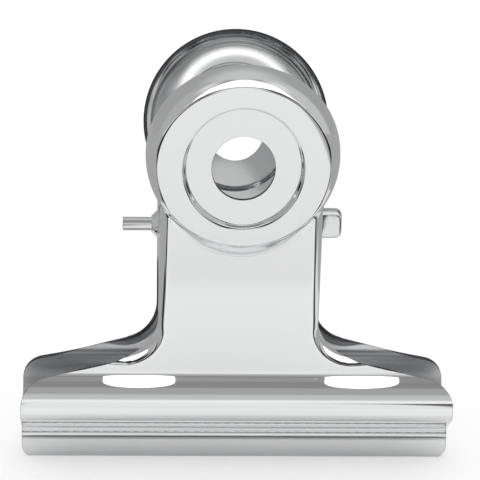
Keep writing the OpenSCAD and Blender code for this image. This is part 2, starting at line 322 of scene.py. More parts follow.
def right_outline():
    """The right half's edge, bottom to top, as (x, s, kind): in x and s, the length up the sheet."""
    pts = []
    # lip and side, in x and z
    edge = [(x, 0.0) for x in np.linspace(0, JAW_HALF - LIP_CORNER, 24)]
    edge += arc(JAW_HALF - LIP_CORNER, LIP_CORNER, LIP_CORNER, -math.pi / 2, 0, 8)[1:]
    wl = math.atan(WING_SLOPE)
    crotch_x = NECK_HALF + CROTCH
    in_x = crotch_x - CROTCH * math.sin(wl)
    in_v = WING_RISE + CROTCH * (1 - math.cos(wl))
    in_z = FOOT_Z + in_v * COS
    end_z = in_z - WING_SLOPE * (JAW_HALF - in_x)
    corner_z = end_z - WING_CORNER * (1 / math.cos(wl) - WING_SLOPE)
    cx = JAW_HALF - WING_CORNER
    edge += [(JAW_HALF, z) for z in np.linspace(LIP_CORNER, corner_z, 30)[1:]]
    edge += arc(cx, corner_z, WING_CORNER, 0, math.pi / 2 - wl, 14)[1:]
    tx, tz = edge[-1]
    edge += [(tx + (in_x - tx) * k, tz + (in_z - tz) * k) for k in np.linspace(0, 1, 40)[1:]]
    for x, z in edge:
        pts.append((x, PROFILE.s_of_z(z)))
    # crotch, neck side and disc, in x and v
    f = PROFILE.foot
    a_end = 1.5 * math.pi - wl
    crotch = arc(crotch_x, WING_RISE + CROTCH, CROTCH, a_end, math.pi, 24)
    pts[-1] = (crotch[0][0], f + crotch[0][1])
    pts += [(x, f + v) for x, v in crotch[1:]]
    rc = 1.0
    fx = NECK_HALF + rc
    rim_v = DISC_UP + RIM_SHIFT
    fv = rim_v - math.sqrt((DISC_R + rc) ** 2 - fx * fx)
    v0 = WING_RISE + CROTCH
    near_disc = fv - 1.6
    pts += [(NECK_HALF, f + v) for v in np.linspace(v0, near_disc, 34)[1:]]
    pts += [(NECK_HALF, f + v) for v in np.linspace(near_disc, fv, 11)[1:]]
    a_top = math.atan2(rim_v - fv, -fx)
    pts += [(x, f + v) for x, v in arc(fx, fv, rc, math.pi, a_top, 8)[1:]]
    a_low = math.atan2(fv - rim_v, fx)
    pts += [(x, f + v) for x, v in arc(0, rim_v, DISC_R, a_low, JOIN_END, 8)[1:]]
    pts += [(x, f + v) for x, v in arc(0, rim_v, DISC_R, JOIN_END, math.pi / 2, 64)[1:]]
    return pts, len(edge) - 1, v0, fv


OUTLINE, CROTCH_START, WALL_LOW, WALL_HIGH = right_outline()


def with_rows(line):
    """Adds the points where the outline crosses a row of the folded sheet."""
    out = [line[0]]
    for a, b in zip(line, line[1:]):
        cuts = sorted((r - a[1]) / (b[1] - a[1]) for r in PROFILE.rows
                      if min(a[1], b[1]) + 0.004 < r < max(a[1], b[1]) - 0.004)
        out += [(a[0] + k * (b[0] - a[0]), a[1] + k * (b[1] - a[1])) for k in cuts]
        out.append(b)
    return out


# the ring just outside the face's edge, from which the skirt is drawn
WALL_TOP = DISC_STEP - 0.22
WALL_R = skirt(WALL_TOP)[0]
FLAT_HALF = NECK_HALF - NECK_BEND


def inner_line():
    """The line inside the disc's junction with the neck, and the matching stretch of the edge."""
    f = PROFILE.foot
    rim_v = f + DISC_UP + RIM_SHIFT
    edge = [q for q in OUTLINE if q[1] >= f + WALL_HIGH - JOIN_LOW - 1e-6
            and math.atan2(q[1] - rim_v, q[0]) <= JOIN_END + 1e-6]
    top = math.sqrt(WALL_R ** 2 - FLAT_HALF ** 2)
    line = [(FLAT_HALF, edge[0][1])]
    line += [(FLAT_HALF, v) for v in np.linspace(edge[0][1], f + DISC_UP - top, 9)[1:]]
    a0 = math.atan2(-top, FLAT_HALF)
    line += [(x, f + v) for x, v in arc(0, DISC_UP, WALL_R, a0, JOIN_END, 12)[1:]]
    return edge, line


def along(line, share):
    """The point at a share of a line's length."""
    q = np.array(line)
    d = np.hypot(*np.diff(q, axis=0).T)
    t = np.concatenate([[0], np.cumsum(d)])
    return tuple(np.interp(share * t[-1], t, q[:, i]) for i in (0, 1))


def share_of(line, i):
    """How far along the line its point i lies, as a share."""
    q = np.array(line)
    d = np.hypot(*np.diff(q, axis=0).T)
    t = np.concatenate([[0], np.cumsum(d)])
    return t[i] / t[-1]


JUNCTION, JUNCTION_LINE = inner_line()


def flange_law(x, s):
    """Bend radius, bend angle and wall depth of the turned-down edge at an outline point."""
    v = s - PROFILE.foot
    if v > WALL_LOW - 1e-6:
        return NECK_BEND, math.pi / 2, FLANGE
    k = ease((EDGE_START - x) / (EDGE_START - NECK_HALF)) if x > NECK_HALF else 1.0
    depth = FLANGE * k ** 1.5
    r = NECK_BEND
    if depth <= r:
        return r, math.acos(max(1 - depth / r, -1)), depth
    return r, math.pi / 2, depth


# meshes from points and faces
class Shell:
    """The sheet's outer face as points with normals and faces, then given its thickness."""

    def __init__(self):
        self.p, self.n, self.f = [], [], []
        self.known = {}

    def add(self, p, n):
        key = tuple(int(round(c * 2e3)) for c in p)
        for dx in (0, -1, 1):
            for dy in (0, -1, 1):
                for dz in (0, -1, 1):
                    i = self.known.get((key[0] + dx, key[1] + dy, key[2] + dz))
                    if i is not None and np.linalg.norm(self.p[i] - p) < 6e-4:
                        return i
        self.known[key] = len(self.p)
        self.p.append(np.array(p, float))
        self.n.append(np.array(n, float) / np.linalg.norm(n))
        return len(self.p) - 1

    def face(self, ids):
        ids = [a for i, a in enumerate(ids) if a != ids[i - 1]]
        if len(set(ids)) < 3:
            return
        q = [self.p[i] for i in ids]
        c = np.zeros(3)
        for i in range(1, len(q) - 1):
            c += np.cross(q[i] - q[0], q[i + 1] - q[0])
        if np.linalg.norm(c) < 1e-7:
            return
        if np.dot(c, sum(self.n[i] for i in ids)) < 0:
            ids = ids[::-1]
        self.f.append(tuple(ids))

    def close(self):
        """Inner face at the sheet's thickness, and a softly rounded cut edge round every border."""
        p = np.array(self.p)
        n = np.array(self.n)
        count = len(p)
        pts = [*p, *(p - SHEET * n)]
        nrm = [*n, *(-n)]
        faces = list(self.f) + [tuple(i + count for i in f[::-1]) for f in self.f]
        self.inside_from = len(self.f)
        half = {}
        for f in self.f:
            for i, a in enumerate(f):
                half[(a, f[(i + 1) % len(f)])] = True
        border = {a: b for a, b in half if (b, a) not in half}
        before = {b: a for a, b in border.items()}
        soft = 0.05
        ring = {}
        for a, b in border.items():
            t = p[b] - p[before.get(a, a)]
            t /= max(np.linalg.norm(t), 1e-9)
            e = np.cross(t, n[a])
            e /= max(np.linalg.norm(e), 1e-9)
            base = p[a]
            ring[a] = [a, len(pts), len(pts) + 1, a + count]
            pts += [base + soft * e - soft * n[a], base + soft * e - (SHEET - soft) * n[a]]
            nrm += [e + 0.25 * n[a], e - 0.25 * n[a]]
        self.edge_from = len(faces)
        for a, b in border.items():
            if b in ring:
                ra, rb = ring[a], ring[b]
                for i in range(3):
                    faces.append((rb[i], ra[i], ra[i + 1], rb[i + 1]))
        return np.array(pts), np.array([v / np.linalg.norm(v) for v in nrm]), faces


def triangles_in(loops, extra, rows=()):
    """Fills closed loops, the first outside and the rest holes, using the extra points."""
    verts, edges = [], []
    for loop in loops:
        k = len(verts)
        verts += [Vector(q) for q in loop]
        edges += [(k + i, k + (i + 1) % len(loop)) for i in range(len(loop))]
    for row in rows:
        k = len(verts)
        verts += [Vector(q) for q in row]
        edges += [(k + i, k + i + 1) for i in range(len(row) - 1)]
    verts += [Vector(q) for q in extra]
    out = delaunay_2d_cdt(verts, edges, [], 1, 1e-5)
    points, faces = out[0], out[2]
    rings = [np.array([tuple(q) for q in loop]) for loop in loops]
    keep = []
    for f in faces:
        c = sum((points[i] for i in f), Vector((0, 0))) / len(f)
        if inside(rings[0], c) and not any(inside(r, c) for r in rings[1:]):
            keep.append(f)
    return [tuple(q) for q in points], keep


def inside(ring, c):
    """Whether c lies in the closed ring."""
    x, y = ring[:, 0], ring[:, 1]
    x2, y2 = np.roll(x, -1), np.roll(y, -1)
    hit = (y > c[1]) != (y2 > c[1])
    with np.errstate(divide="ignore", invalid="ignore"):
        xs = x + (c[1] - y) * (x2 - x) / (y2 - y)
    return int(np.sum(hit & (xs > c[0]))) % 2 == 1


def near(ring, c, d):
    """Whether c lies within d of one of the ring's points."""
    return bool(np.min(np.hypot(ring[:, 0] - c[0], ring[:, 1] - c[1])) < d)


def make_object(name, pts, normals, faces):
    mesh = bpy.data.meshes.new(name)
    mesh.from_pydata([tuple(MM * c for c in p) for p in pts], [], faces)
    mesh.validate(clean_customdata=False)
    mesh.shade_smooth()
    if normals is not None:
        mesh.normals_split_custom_set_from_vertices([tuple(n) for n in normals])
    mesh.update()
    o = bpy.data.objects.new(name, mesh)
    bpy.context.scene.collection.objects.link(o)
    return o


# one plate
BEND_ROWS, WALL_ROWS = 8, 4
ROWS = []
for _i in range(BEND_ROWS + WALL_ROWS + 1):
    _a = math.pi / 2 * min(_i / BEND_ROWS, 1)
    _straight = (FLANGE - NECK_BEND) * max(_i - BEND_ROWS, 0) / WALL_ROWS
    ROWS.append((math.sin(_a), (FLANGE - NECK_BEND * (1 - math.cos(_a)) - _straight) / FLANGE))


def skirt_station(x, s):
    """Rows down the side of disc and neck where they join, by rays out of the form."""
    f = PROFILE.foot
    if (x, s) in JUNCTION:
        q = along(JUNCTION_LINE, share_of(JUNCTION, JUNCTION.index((x, s))))
    else:
        a = math.atan2(s - f - DISC_UP - RIM_SHIFT, x)
        q = (WALL_R * math.cos(a), f + DISC_UP + WALL_R * math.sin(a))
    top, _ = on_top(q[0], q[1] - f)
    high = top[1] + FLANGE
    rows = []
    start = np.array([q[0], -FLANGE, q[1] - f])
    for across, up in ROWS:
        way = np.array([(x - q[0]) * across, high * up, (s - q[1]) * across])
        p, g = cast(start, way, 1.6)
        rows.append((handle(*p), handle_turn(g)))
    return q, rows


def edge_station(x, s, m):
    """Rows of the turned-down edge at an outline point: m is inward, in x and s."""
    if s - PROFILE.foot > WALL_HIGH - JOIN_LOW + 1e-6:
        return skirt_station(x, s)
    r, turn, depth = flange_law(x, s)
    run = r * math.sin(turn)
    px, ps = x + m[0] * run, s + m[1] * run
    out = []
    base, normal, up = face_point(px, ps)
    inward = np.array([m[0], 0, 0]) + m[1] * up
    for i in range(BEND_ROWS + WALL_ROWS + 1):
        a = turn * min(i / BEND_ROWS, 1)
        p = base - inward * r * math.sin(a) - normal * r * (1 - math.cos(a))
        if i > BEND_ROWS:
            p = p - normal * max(depth - r, 0) * (i - BEND_ROWS) / WALL_ROWS
        out.append((p, normal * math.cos(a) - inward * math.sin(a)))
    return (px, ps), out


def ear_region(v_low, v_high, bend_vs):
    """Flange and ear in the plane of the neck's side, as v and depth: outer loop and hinge point."""
    nh, vh = to_handle(0, HINGE_Z)
    dh = -nh
    root_d = FLANGE - SHEET
    rise = EAR_RISE / COS
    side = []
    for s in (1, -1):
        q = (vh + s * rise, root_d)
        dist = math.hypot(q[0] - vh, q[1] - dh)
        base = math.atan2(q[1] - dh, q[0] - vh)
        turn = math.acos(EAR_R / dist)
        a = base + s * turn
        touch = (vh + EAR_R * math.cos(a), dh + EAR_R * math.sin(a))
        k = (FLANGE - q[1]) / (touch[1] - q[1])
        foot = (q[0] + k * (touch[0] - q[0]), FLANGE)
        side.append((foot, touch, a))
    (foot_hi, touch_hi, a_hi), (foot_lo, touch_lo, a_lo) = side
    loop = [(v, NECK_BEND) for v in bend_vs]
    loop += [(v_high, NECK_BEND + (FLANGE - NECK_BEND) * i / 4) for i in range(1, 5)]

    def fillet(p, c, q, r):
        """Rounds the corner c between p and q."""
        c, p, q = np.array(c), np.array(p), np.array(q)
        a = (p - c) / np.linalg.norm(p - c)
        b = (q - c) / np.linalg.norm(q - c)
        half = math.acos(np.clip(np.dot(a, b), -1, 1)) / 2
        reach = r / math.tan(half)
        mid = (a + b) / np.linalg.norm(a + b)
        o = c + mid * r / math.sin(half)
        a0 = math.atan2(*(c + a * reach - o)[::-1])
        a1 = math.atan2(*(c + b * reach - o)[::-1])
        d = (a1 - a0 + math.pi) % (2 * math.pi) - math.pi
        return arc(o[0], o[1], r, a0, a0 + d, 8)

    loop += fillet((v_high, FLANGE), foot_hi, touch_hi, 1.4)
    line = np.array(fillet((v_high, FLANGE), foot_hi, touch_hi, 1.4)[-1])
    loop += [tuple(line + (np.array(touch_hi) - line) * k) for k in np.linspace(0, 1, 12)[1:-1]]
    span = (a_lo - a_hi) % (2 * math.pi)
    loop += arc(vh, dh, EAR_R, a_hi, a_hi + span, 30)
    low = fillet(touch_lo, foot_lo, (v_low, FLANGE), 1.4)
    loop += [tuple(np.array(touch_lo) + (np.array(low[0]) - np.array(touch_lo)) * k)
             for k in np.linspace(0, 1, 12)[1:-1]]
    loop += low
    loop += [(v_low, NECK_BEND + (FLANGE - NECK_BEND) * i / 4) for i in range(4, 0, -1)]
    return loop, (vh, dh)


def joggle(y):
    """How far the inner ear has stepped in at y."""
    return (SHEET + EAR_GAP) * ease((y + 4.8) / 1.6)


def build_plate():
    """The outer face of one plate: flat pattern, turned-down edge, ears and skirt."""
    shell = Shell()
    line = with_rows(OUTLINE)
    # stations on the right half, then mirrored to the left
    inner_loop, strips, flanged = [], [], []
    count = len(line)
    for i, (x, s) in enumerate(line):
        a = line[max(i - 1, 0)]
        b = line[min(i + 1, count - 1)]
        if i == count - 1:
            t = (-1.0, 0.0)
        elif i == 0:
            t = (1.0, 0.0)
        else:
            d = math.hypot(b[0] - a[0], b[1] - a[1])
            t = ((b[0] - a[0]) / d, (b[1] - a[1]) / d)
        m = (-t[1], t[0])
        on_edge = s > PROFILE.s_of_z(12) and x < EDGE_START
        if on_edge:
            q, rows = edge_station(x, s, m)
            if i == count - 1:
                q = (0.0, q[1])
            inner_loop.append(q)
            strips.append((s, rows))
        else:
            inner_loop.append((x, s))
    # the flat pattern's inner loop, both halves
    right = inner_loop
    left = [(-x, s) for x, s in right[1:-1]][::-1]
    outer = right + left
    ring = np.array(outer)
    f = PROFILE.foot
    holes = [eye_ring(HOLE_R, HOLE_DROP)[:-1]]
    rows = []
    # rows of the folded sheet, from edge to edge
    for r in PROFILE.rows[1:]:
        if r > f + 1e-6:
            continue
        xs = [x for x, s in right if abs(s - r) < 1e-6]
        if not xs:
            continue
        w = max(xs)
        n = max(2, int(w / 1.5))
        row = [(w * k / n, r) for k in range(-n, n + 1)]
        rows.append(row)
    # rings of the sunk middle, of the face's edge, and of the slope below it
    rows += [eye_ring(r) for r in RING_RADII]
    for h in (0.0, 0.05, 0.1, 0.15, 0.2):
        r = FACE_R - 0.17 + (WALL_R - FACE_R + 0.15) * h / 0.2
        rows.append(arc(0, f + DISC_UP, r, 0, 2 * math.pi, 180))
    low = DISC_UP - RAMP_DROP
    tops = [RAMP_FOOT - RAMP_RUN + k for k in (-0.5, -0.3, -0.15, 0.0, 0.15, 0.3)]
    for r in tops + [RAMP_FOOT + k for k in (-0.45, -0.3, -0.2, -0.1, 0.0, 0.1, 0.2, 0.3, 0.45)]:
        side = math.asin(min(1, (FLAT_HALF - 0.1) / r)) if r > FLAT_HALF else math.radians(75)
        whole = arc(0, f + low, r, -math.pi / 2 - side, -math.pi / 2 + side, 80)
        rows.append([q for q in whole if math.hypot(q[0], q[1] - f - DISC_UP) > FACE_R - 0.6])
    extra = []
    for x in np.arange(-FLAT_HALF + 0.09, FLAT_HALF - 0.08, 0.18):
        for v in np.arange(DISC_UP - RAMP_REACH - 0.9, DISC_UP - 6.5, 0.18):
            if math.hypot(x, v - DISC_UP) > WALL_R and not near(ring, (x, f + v), 0.08):
                extra.append((x, f + v))
    for v in np.arange(2.0, DISC_UP - RAMP_REACH - 1.5, 2.5):
        for x in np.arange(-9, 9.1, 3):
            extra.append((x, f + v))
    pts, tris = triangles_in([outer] + holes, extra, rows)
    ids = []
    for x, s in pts:
        v = s - f
        rho = eye(x, v)
        if rho <= SINK[-1][0] + 1e-6:
            n, slope = dish(rho)
            over = v - DISC_UP + EYE_DROP
            g = np.array([-slope * x * OVAL * OVAL / rho, 1.0, -slope * over / rho])
            ids.append(shell.add(handle(x, n, v), handle_turn(g)))
        elif v > DISC_UP - RAMP_REACH - 1:
            q, g = on_top(x, v)
            ids.append(shell.add(handle(*q), handle_turn(g)))
        else:
            p, n, up = face_point(x, s)
            ids.append(shell.add(p, n))
    for t in tris:
        shell.face([ids[i] for i in t])
    # the turned-down edge: the bend all round, the wall beside ears and as a skirt on the disc
    across = np.array([-1, 1, 1])
    wall_heights = [s - f for s, r in strips if WALL_LOW - 1e-6 <= s - f <= WALL_HIGH - 1.6]
    v_low, v_high = wall_heights[0], wall_heights[-1]
    for side in (1, -1):
        grid = []
        for s, rows_ in strips:
            pairs = rows_ if side > 0 else [(p * across, n * across) for p, n in rows_]
            grid.append([shell.add(p, n) for p, n in pairs])
        for (sa, _), (sb, _), a, b in zip(strips, strips[1:], grid, grid[1:]):
            ear_zone = v_low - 1e-6 <= sa - f and sb - f <= v_high + 1e-6 and sb > sa
            last = BEND_ROWS if ear_zone else BEND_ROWS + WALL_ROWS
            for i in range(last):
                shell.face([a[i], a[i + 1], b[i + 1], b[i]])
        # flange and ear in one flat wall
        loop, (vh, dh) = ear_region(v_low, v_high, wall_heights)
        hole = arc(vh, dh, PIN_R + PIN_GAP, 0, 2 * math.pi, 32)[:-1]
        wall_ring = np.array(loop)
        more = []
        for y in np.arange(-9.0, 3.0, 0.27):
            for z in np.arange(HINGE_Z - 6, HINGE_Z + 6, 0.8):
                n, v = to_handle(y, z)
                q = (v, -n)
                if inside(wall_ring, q) and not near(wall_ring, q, 0.12) \
                        and math.hypot(v - vh, -n - dh) > PIN_R + 0.25:
                    more.append(q)
        qs, tr = triangles_in([loop, hole], more)
        ids = []
        inner = side > 0
        for v, d in qs:
            p = handle(NECK_HALF, -d, v)
            n = np.array([1.0, 0, 0])
            if inner and d > FLANGE:
                e = 1e-3
                slope = (joggle(p[1] + e) - joggle(p[1] - e)) / (2 * e)
                n = np.array([1.0, slope, 0])
                p[0] -= joggle(p[1])
            if side < 0:
                p, n = p * across, n * across
            ids.append(shell.add(p, n))
        for t in tr:
            shell.face([ids[i] for i in t])
    return shell


def collar_points():
    """Collar drawn out of the left ear round the pin, turned about the pin's axis."""
    bore = PIN_R + PIN_GAP
    x_ear, root, soft, tip, length = NECK_HALF, 2.25, 0.3, 1.3, 1.0
    # fillet on the ear, cone, rounded lip, bore
    prof = []
    for i in range(7):
        a = math.radians(80 * i / 6)
        prof.append((x_ear + soft * (1 - math.cos(a)), root - soft * math.sin(a)))
    prof.append((x_ear + length - 0.2, tip + 0.06))
    for i in range(5):
        a = math.radians(90 * i / 4)
        prof.append((x_ear + length - 0.1 + 0.1 * math.sin(a), tip - 0.1 + 0.1 * math.cos(a)))
    prof += [(x_ear + length, 1.15), (x_ear + length - 0.08, bore)]
    prof += [(x_ear - 0.2, bore), (x_ear - 0.2, root)]
    n = 64
    pts, faces = [], []
    for k in range(n):
        a = 2 * math.pi * k / n
        pts += [(-x, r * math.cos(a), HINGE_Z + r * math.sin(a)) for x, r in prof]
    m = len(prof)
    for k in range(n):
        for i in range(m):
            a, b = k * m + i, k * m + (i + 1) % m
            c, d = ((k + 1) % n) * m + (i + 1) % m, ((k + 1) % n) * m + i
            faces.append((a, d, c, b))
    return pts, faces


def plate_object(name, body, node, turned):
    shell = build_plate()
    pts, normals, faces = shell.close()
    if turned:
        pts = pts * np.array([-1, -1, 1])
        normals = normals * np.array([-1, -1, 1])
    o = make_object(name, pts, normals, faces)
    for finish in (CHROME, INSIDE, INSIDE_JAW_SHADED, CUT_EDGE, GROOVE_SHADE):
        o.data.materials.append(finish)
    grooves = [tuple(PROFILE.at(s)[1] for s in span) for span in GROOVE_SHADE_SPANS]
    for i, face in enumerate(o.data.polygons):
        z = face.center.z / MM
        if i >= shell.edge_from:
            face.material_index = 3
        elif i >= shell.inside_from:
            # inner faces below JAW_TOP, between the jaws, take the darker copy: painted shade
            face.material_index = 2 if z < JAW_TOP else 1
        # outer faces in the lip's grooves take the dark chrome: painted shade
        elif any(a < z < b for a, b in grooves):
            face.material_index = 4
    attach(o, body)
    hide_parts(node)
    return o


# finishes; two of them are dark copies of the chrome that paint shade into the lip's grooves and between
# the jaws
def plain_metal(name, colour, rough, grain, bump):
    """A metal whose gloss varies a little with a fine grain, and bumps with it where asked."""
    m = bpy.data.materials.new(name)
    m.use_nodes = True
    t = m.node_tree
    b = t.nodes["Principled BSDF"]
    b.inputs["Metallic"].default_value = 1.0
    b.inputs["Base Color"].default_value = (*colour, 1)
    coord = t.nodes.new("ShaderNodeTexCoord")
    noise = t.nodes.new("ShaderNodeTexNoise")
    noise.inputs["Scale"].default_value = grain
    noise.inputs["Detail"].default_value = 4
    t.links.new(coord.outputs["Object"], noise.inputs["Vector"])
    span = t.nodes.new("ShaderNodeMapRange")
    span.inputs["To Min"].default_value = rough * 0.75
    span.inputs["To Max"].default_value = rough * 1.3
    t.links.new(noise.outputs["Fac"], span.inputs["Value"])
    t.links.new(span.outputs["Result"], b.inputs["Roughness"])
    if bump:
        bp = t.nodes.new("ShaderNodeBump")
        bp.inputs["Strength"].default_value = bump
        bp.inputs["Distance"].default_value = 0.00004
        t.links.new(noise.outputs["Fac"], bp.inputs["Height"])
        t.links.new(bp.outputs["Normal"], b.inputs["Normal"])
    return m


CHROME = plain_metal("bright_chrome", (0.875, 0.88, 0.885), 0.06, 180, 0)
INSIDE = plain_metal("satin_chrome_inside", (0.86, 0.865, 0.87), 0.12, 260, 0)
# painted shade: a darker copy of the inside chrome for the jaws' inner faces between the plates; the
# higher roughness is a satin finish
INSIDE_JAW_SHADED = plain_metal("satin_chrome_inside_jaw_painted_shade", (0.72, 0.725, 0.735), 0.34, 260, 0)
CUT_EDGE = plain_metal("sheared_edge", (0.10, 0.102, 0.11), 0.25, 400, 0.1)
# painted shade: a dark copy of the chrome for the grooves beside the lip's bead
GROOVE_SHADE = plain_metal("painted_groove_shade", (0.30, 0.303, 0.31), 0.15, 400, 0)
PIN_STEEL = plain_metal("bright_pin_steel", (0.82, 0.825, 0.83), 0.11, 400, 0.06)
WIRE = plain_metal("spring_wire", (0.62, 0.63, 0.65), 0.22, 700, 0.2)

front = plate_object("front_pressed_plate", "front_half", "front_plate", False)
rear = plate_object("rear_pressed_plate", "rear_half", "rear_plate", True)
cp, cf = collar_points()
collar = make_object("ear_collar", np.array(cp), None, cf)
collar.data.materials.append(CHROME)
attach(collar, "front_half")


def pin_meshes():
    """Rod with softened ends that runs out inside a flattened, round-cornered head."""
    pts, faces = [], []

    def tube(stations, sides):
        """Closed skin over rings of (x, half thickness, half height, exponent, rise)."""
        k = len(pts)
        for x, a, b, e, rise in stations:
            for i in range(sides):
                t = 2 * math.pi * i / sides
                c, q = math.cos(t), math.sin(t)
                pts.append((x, a * math.copysign(abs(c) ** (2 / e), c),
                            HINGE_Z + rise + b * math.copysign(abs(q) ** (2 / e), q)))
        n = len(stations)
        for j in range(n - 1):
            for i in range(sides):
                a0, a1 = k + j * sides + i, k + j * sides + (i + 1) % sides
                faces.append((a0, a1, a1 + sides, a0 + sides))
        faces.append(tuple(k + i for i in range(sides))[::-1])
        faces.append(tuple(k + (n - 1) * sides + i for i in range(sides)))

    tail_x, head_x = -NECK_HALF - 5.2, NECK_HALF + 0.05
    length, half_h, half_t, corner, soft = 3.5, 2.2, 0.55, 0.95, 0.3
    rod = [(tail_x + 0.12 * (1 - math.cos(t)), 0.88 + 0.12 * math.sin(t), 0.88 + 0.12 * math.sin(t), 2, 0)
           for t in np.linspace(0, math.pi / 2, 5)]
    # the rod spreads into a thin, tall blade
    for k in np.linspace(0, 1, 13):
        spread = ease(k)
        rod.append((head_x + 0.75 * k, 1 + (half_t - 1) * spread, 1 + (half_h - 1) * spread,
                    2 + 1.4 * spread, HEAD_RISE * spread))
    rod.append((head_x + 1.6, half_t, half_h + 0.04, 3.4, HEAD_RISE))
    for t in np.linspace(0, math.pi / 2, 14):
        x = length - corner + corner * math.sin(t)
        b = half_h - corner + corner * math.cos(t)
        near_end = max(0.0, (x - (length - soft)) / soft)
        a = half_t - soft * (1 - math.sqrt(max(0.0, 1 - near_end ** 2)))
        rod.append((head_x + x, a, b, 3.4, HEAD_RISE))
    tube(rod, 96)
    return pts, faces


def wire_route():
    """Middle line of the spring's wire: front leg, coil about the pin, rear leg."""
    wire, coil, turns, pitch = 0.7, 2.9, 7, 2.0
    inward = (SHEET + 0.1 + wire) / COS

    def pad(z):
        return np.array([FOOT_OUT + (z - FOOT_Z) * math.tan(LEAN) - inward, z])

    low, top = pad(HINGE_Z + 6.4 - 3.4 * COS), pad(HINGE_Z + 6.4)
    hub = np.array([0.0, HINGE_Z])
    far = low - hub
    a = math.atan2(far[1], far[0]) - math.acos(coil / np.linalg.norm(far))
    wrap = 2 * math.pi * turns + math.pi + 2 * a
    half = pitch * wrap / (4 * math.pi)
    leave = hub + coil * np.array([math.cos(a), math.sin(a)])
    # the leg, with its bend rounded
    t_in, t_out = (low - leave) / np.linalg.norm(low - leave), (top - low) / np.linalg.norm(top - low)
    reach = 0.9
    leg = [leave + (low - leave - reach * t_in) * k for k in np.linspace(0, 1, 16)[1:]]
    for k in np.linspace(0, 1, 8)[1:]:
        leg.append(low - reach * t_in * (1 - k) ** 2 + reach * t_out * k ** 2)
    leg += [low + reach * t_out + (top - low - reach * t_out) * k for k in np.linspace(0, 1, 8)[1:]]
    line = [(-half, -y, z) for y, z in reversed(leg)]
    count = int(wrap / math.radians(10))
    for i in range(count + 1):
        k = i / count
        t = math.pi - a + wrap * k
        # the helix starts and ends square to the pin, so that the legs leave it smoothly
        x = half * (2 * k - 1)
        for end in (k, 1 - k):
            lead = max(0.0, 1 - end * wrap / math.radians(60))
            x += math.copysign(0.12 * lead ** 2, x)
        line.append((x, coil * math.cos(t), HINGE_Z + coil * math.sin(t)))
    line += [(half, y, z) for y, z in leg]
    return line, wire, half


def round_wire(name, line, radius, material):
    """A closed round wire along a line of points, swept by a Geometry Nodes tree."""
    tree = bpy.data.node_groups.new("round_wire", "GeometryNodeTree")
    face = tree.interface
    face.new_socket("Line", in_out="INPUT", socket_type="NodeSocketGeometry")
    radius_in = face.new_socket("Wire radius", in_out="INPUT", socket_type="NodeSocketFloat")
    sides_in = face.new_socket("Sides", in_out="INPUT", socket_type="NodeSocketInt")
    finish_in = face.new_socket("Finish", in_out="INPUT", socket_type="NodeSocketMaterial")
    face.new_socket("Wire", in_out="OUTPUT", socket_type="NodeSocketGeometry")
    put, join = tree.nodes.new, tree.links.new
    given, result = put("NodeGroupInput"), put("NodeGroupOutput")
    to_curve, ring = put("GeometryNodeMeshToCurve"), put("GeometryNodeCurvePrimitiveCircle")
    sweep, smooth = put("GeometryNodeCurveToMesh"), put("GeometryNodeSetShadeSmooth")
    real, finish = put("GeometryNodeRealizeInstances"), put("GeometryNodeSetMaterial")
    join(given.outputs["Line"], to_curve.inputs["Mesh"])
    join(given.outputs["Sides"], ring.inputs["Resolution"])
    join(given.outputs["Wire radius"], ring.inputs["Radius"])
    join(to_curve.outputs["Curve"], sweep.inputs["Curve"])
    join(ring.outputs["Curve"], sweep.inputs["Profile Curve"])
    sweep.inputs["Fill Caps"].default_value = True
    join(sweep.outputs["Mesh"], smooth.inputs["Geometry"])
    join(smooth.outputs["Geometry"], real.inputs["Geometry"])
    join(real.outputs["Geometry"], finish.inputs["Geometry"])
    join(given.outputs["Finish"], finish.inputs["Material"])
    join(finish.outputs["Geometry"], result.inputs["Wire"])
    mesh = bpy.data.meshes.new(name + "_line")
    edges = [(i, i + 1) for i in range(len(line) - 1)]
    mesh.from_pydata([tuple(MM * c for c in q) for q in line], edges, [])
    o = bpy.data.objects.new(name, mesh)
    bpy.context.scene.collection.objects.link(o)
    mod = o.modifiers.new("wire", "NODES")
    mod.node_group = tree
    mod[radius_in.identifier] = radius * MM
    mod[sides_in.identifier] = 20
    mod[finish_in.identifier] = material
    bpy.context.view_layer.update()
    made = bpy.data.meshes.new_from_object(o.evaluated_get(bpy.context.evaluated_depsgraph_get()))
    o.modifiers.clear()
    o.data = made
    return o


pp, pf = pin_meshes()
pin = make_object("cross_pin", np.array(pp), None, pf)
pin.data.materials.append(PIN_STEEL)
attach(pin, "front_half")
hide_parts("hinge_pin")

line, wire_radius, coil_half = wire_route()
spring = round_wire("wound_spring", line, wire_radius, WIRE)
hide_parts("torsion_spring")
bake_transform(spring)

# the CAD's own pin and spring are hidden behind these, and keep a finish of their own
for node, finish in (("hinge_pin", PIN_STEEL), ("torsion_spring", WIRE)):
    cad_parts[node].data.materials.clear()
    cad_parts[node].data.materials.append(finish)


# floor, light and camera
class Nodes:
    """Short words for wiring up a node tree."""

    def __init__(self, tree):
        self.t = tree

    def put(self, kind, **props):
        n = self.t.nodes.new(kind)
        for k, v in props.items():
            setattr(n, k, v)
        return n

    def join(self, a, b):
        self.t.links.new(a, b)

    def sum(self, op, a, b=None):
        n = self.put("ShaderNodeMath", operation=op)
        for i, v in enumerate((a, b)):
            if v is None:
                continue
            if isinstance(v, (int, float)):
                n.inputs[i].default_value = v
            else:
                self.join(v, n.inputs[i])
        return n.outputs[0]

    def fade(self, value, lo, hi, a=0.0, b=1.0):
        n = self.put("ShaderNodeMapRange", interpolation_type="SMOOTHSTEP")
        self.join(value, n.inputs["Value"])
        for k, v in (("From Min", lo), ("From Max", hi), ("To Min", a), ("To Max", b)):
            n.inputs[k].default_value = v
        return n.outputs["Result"]


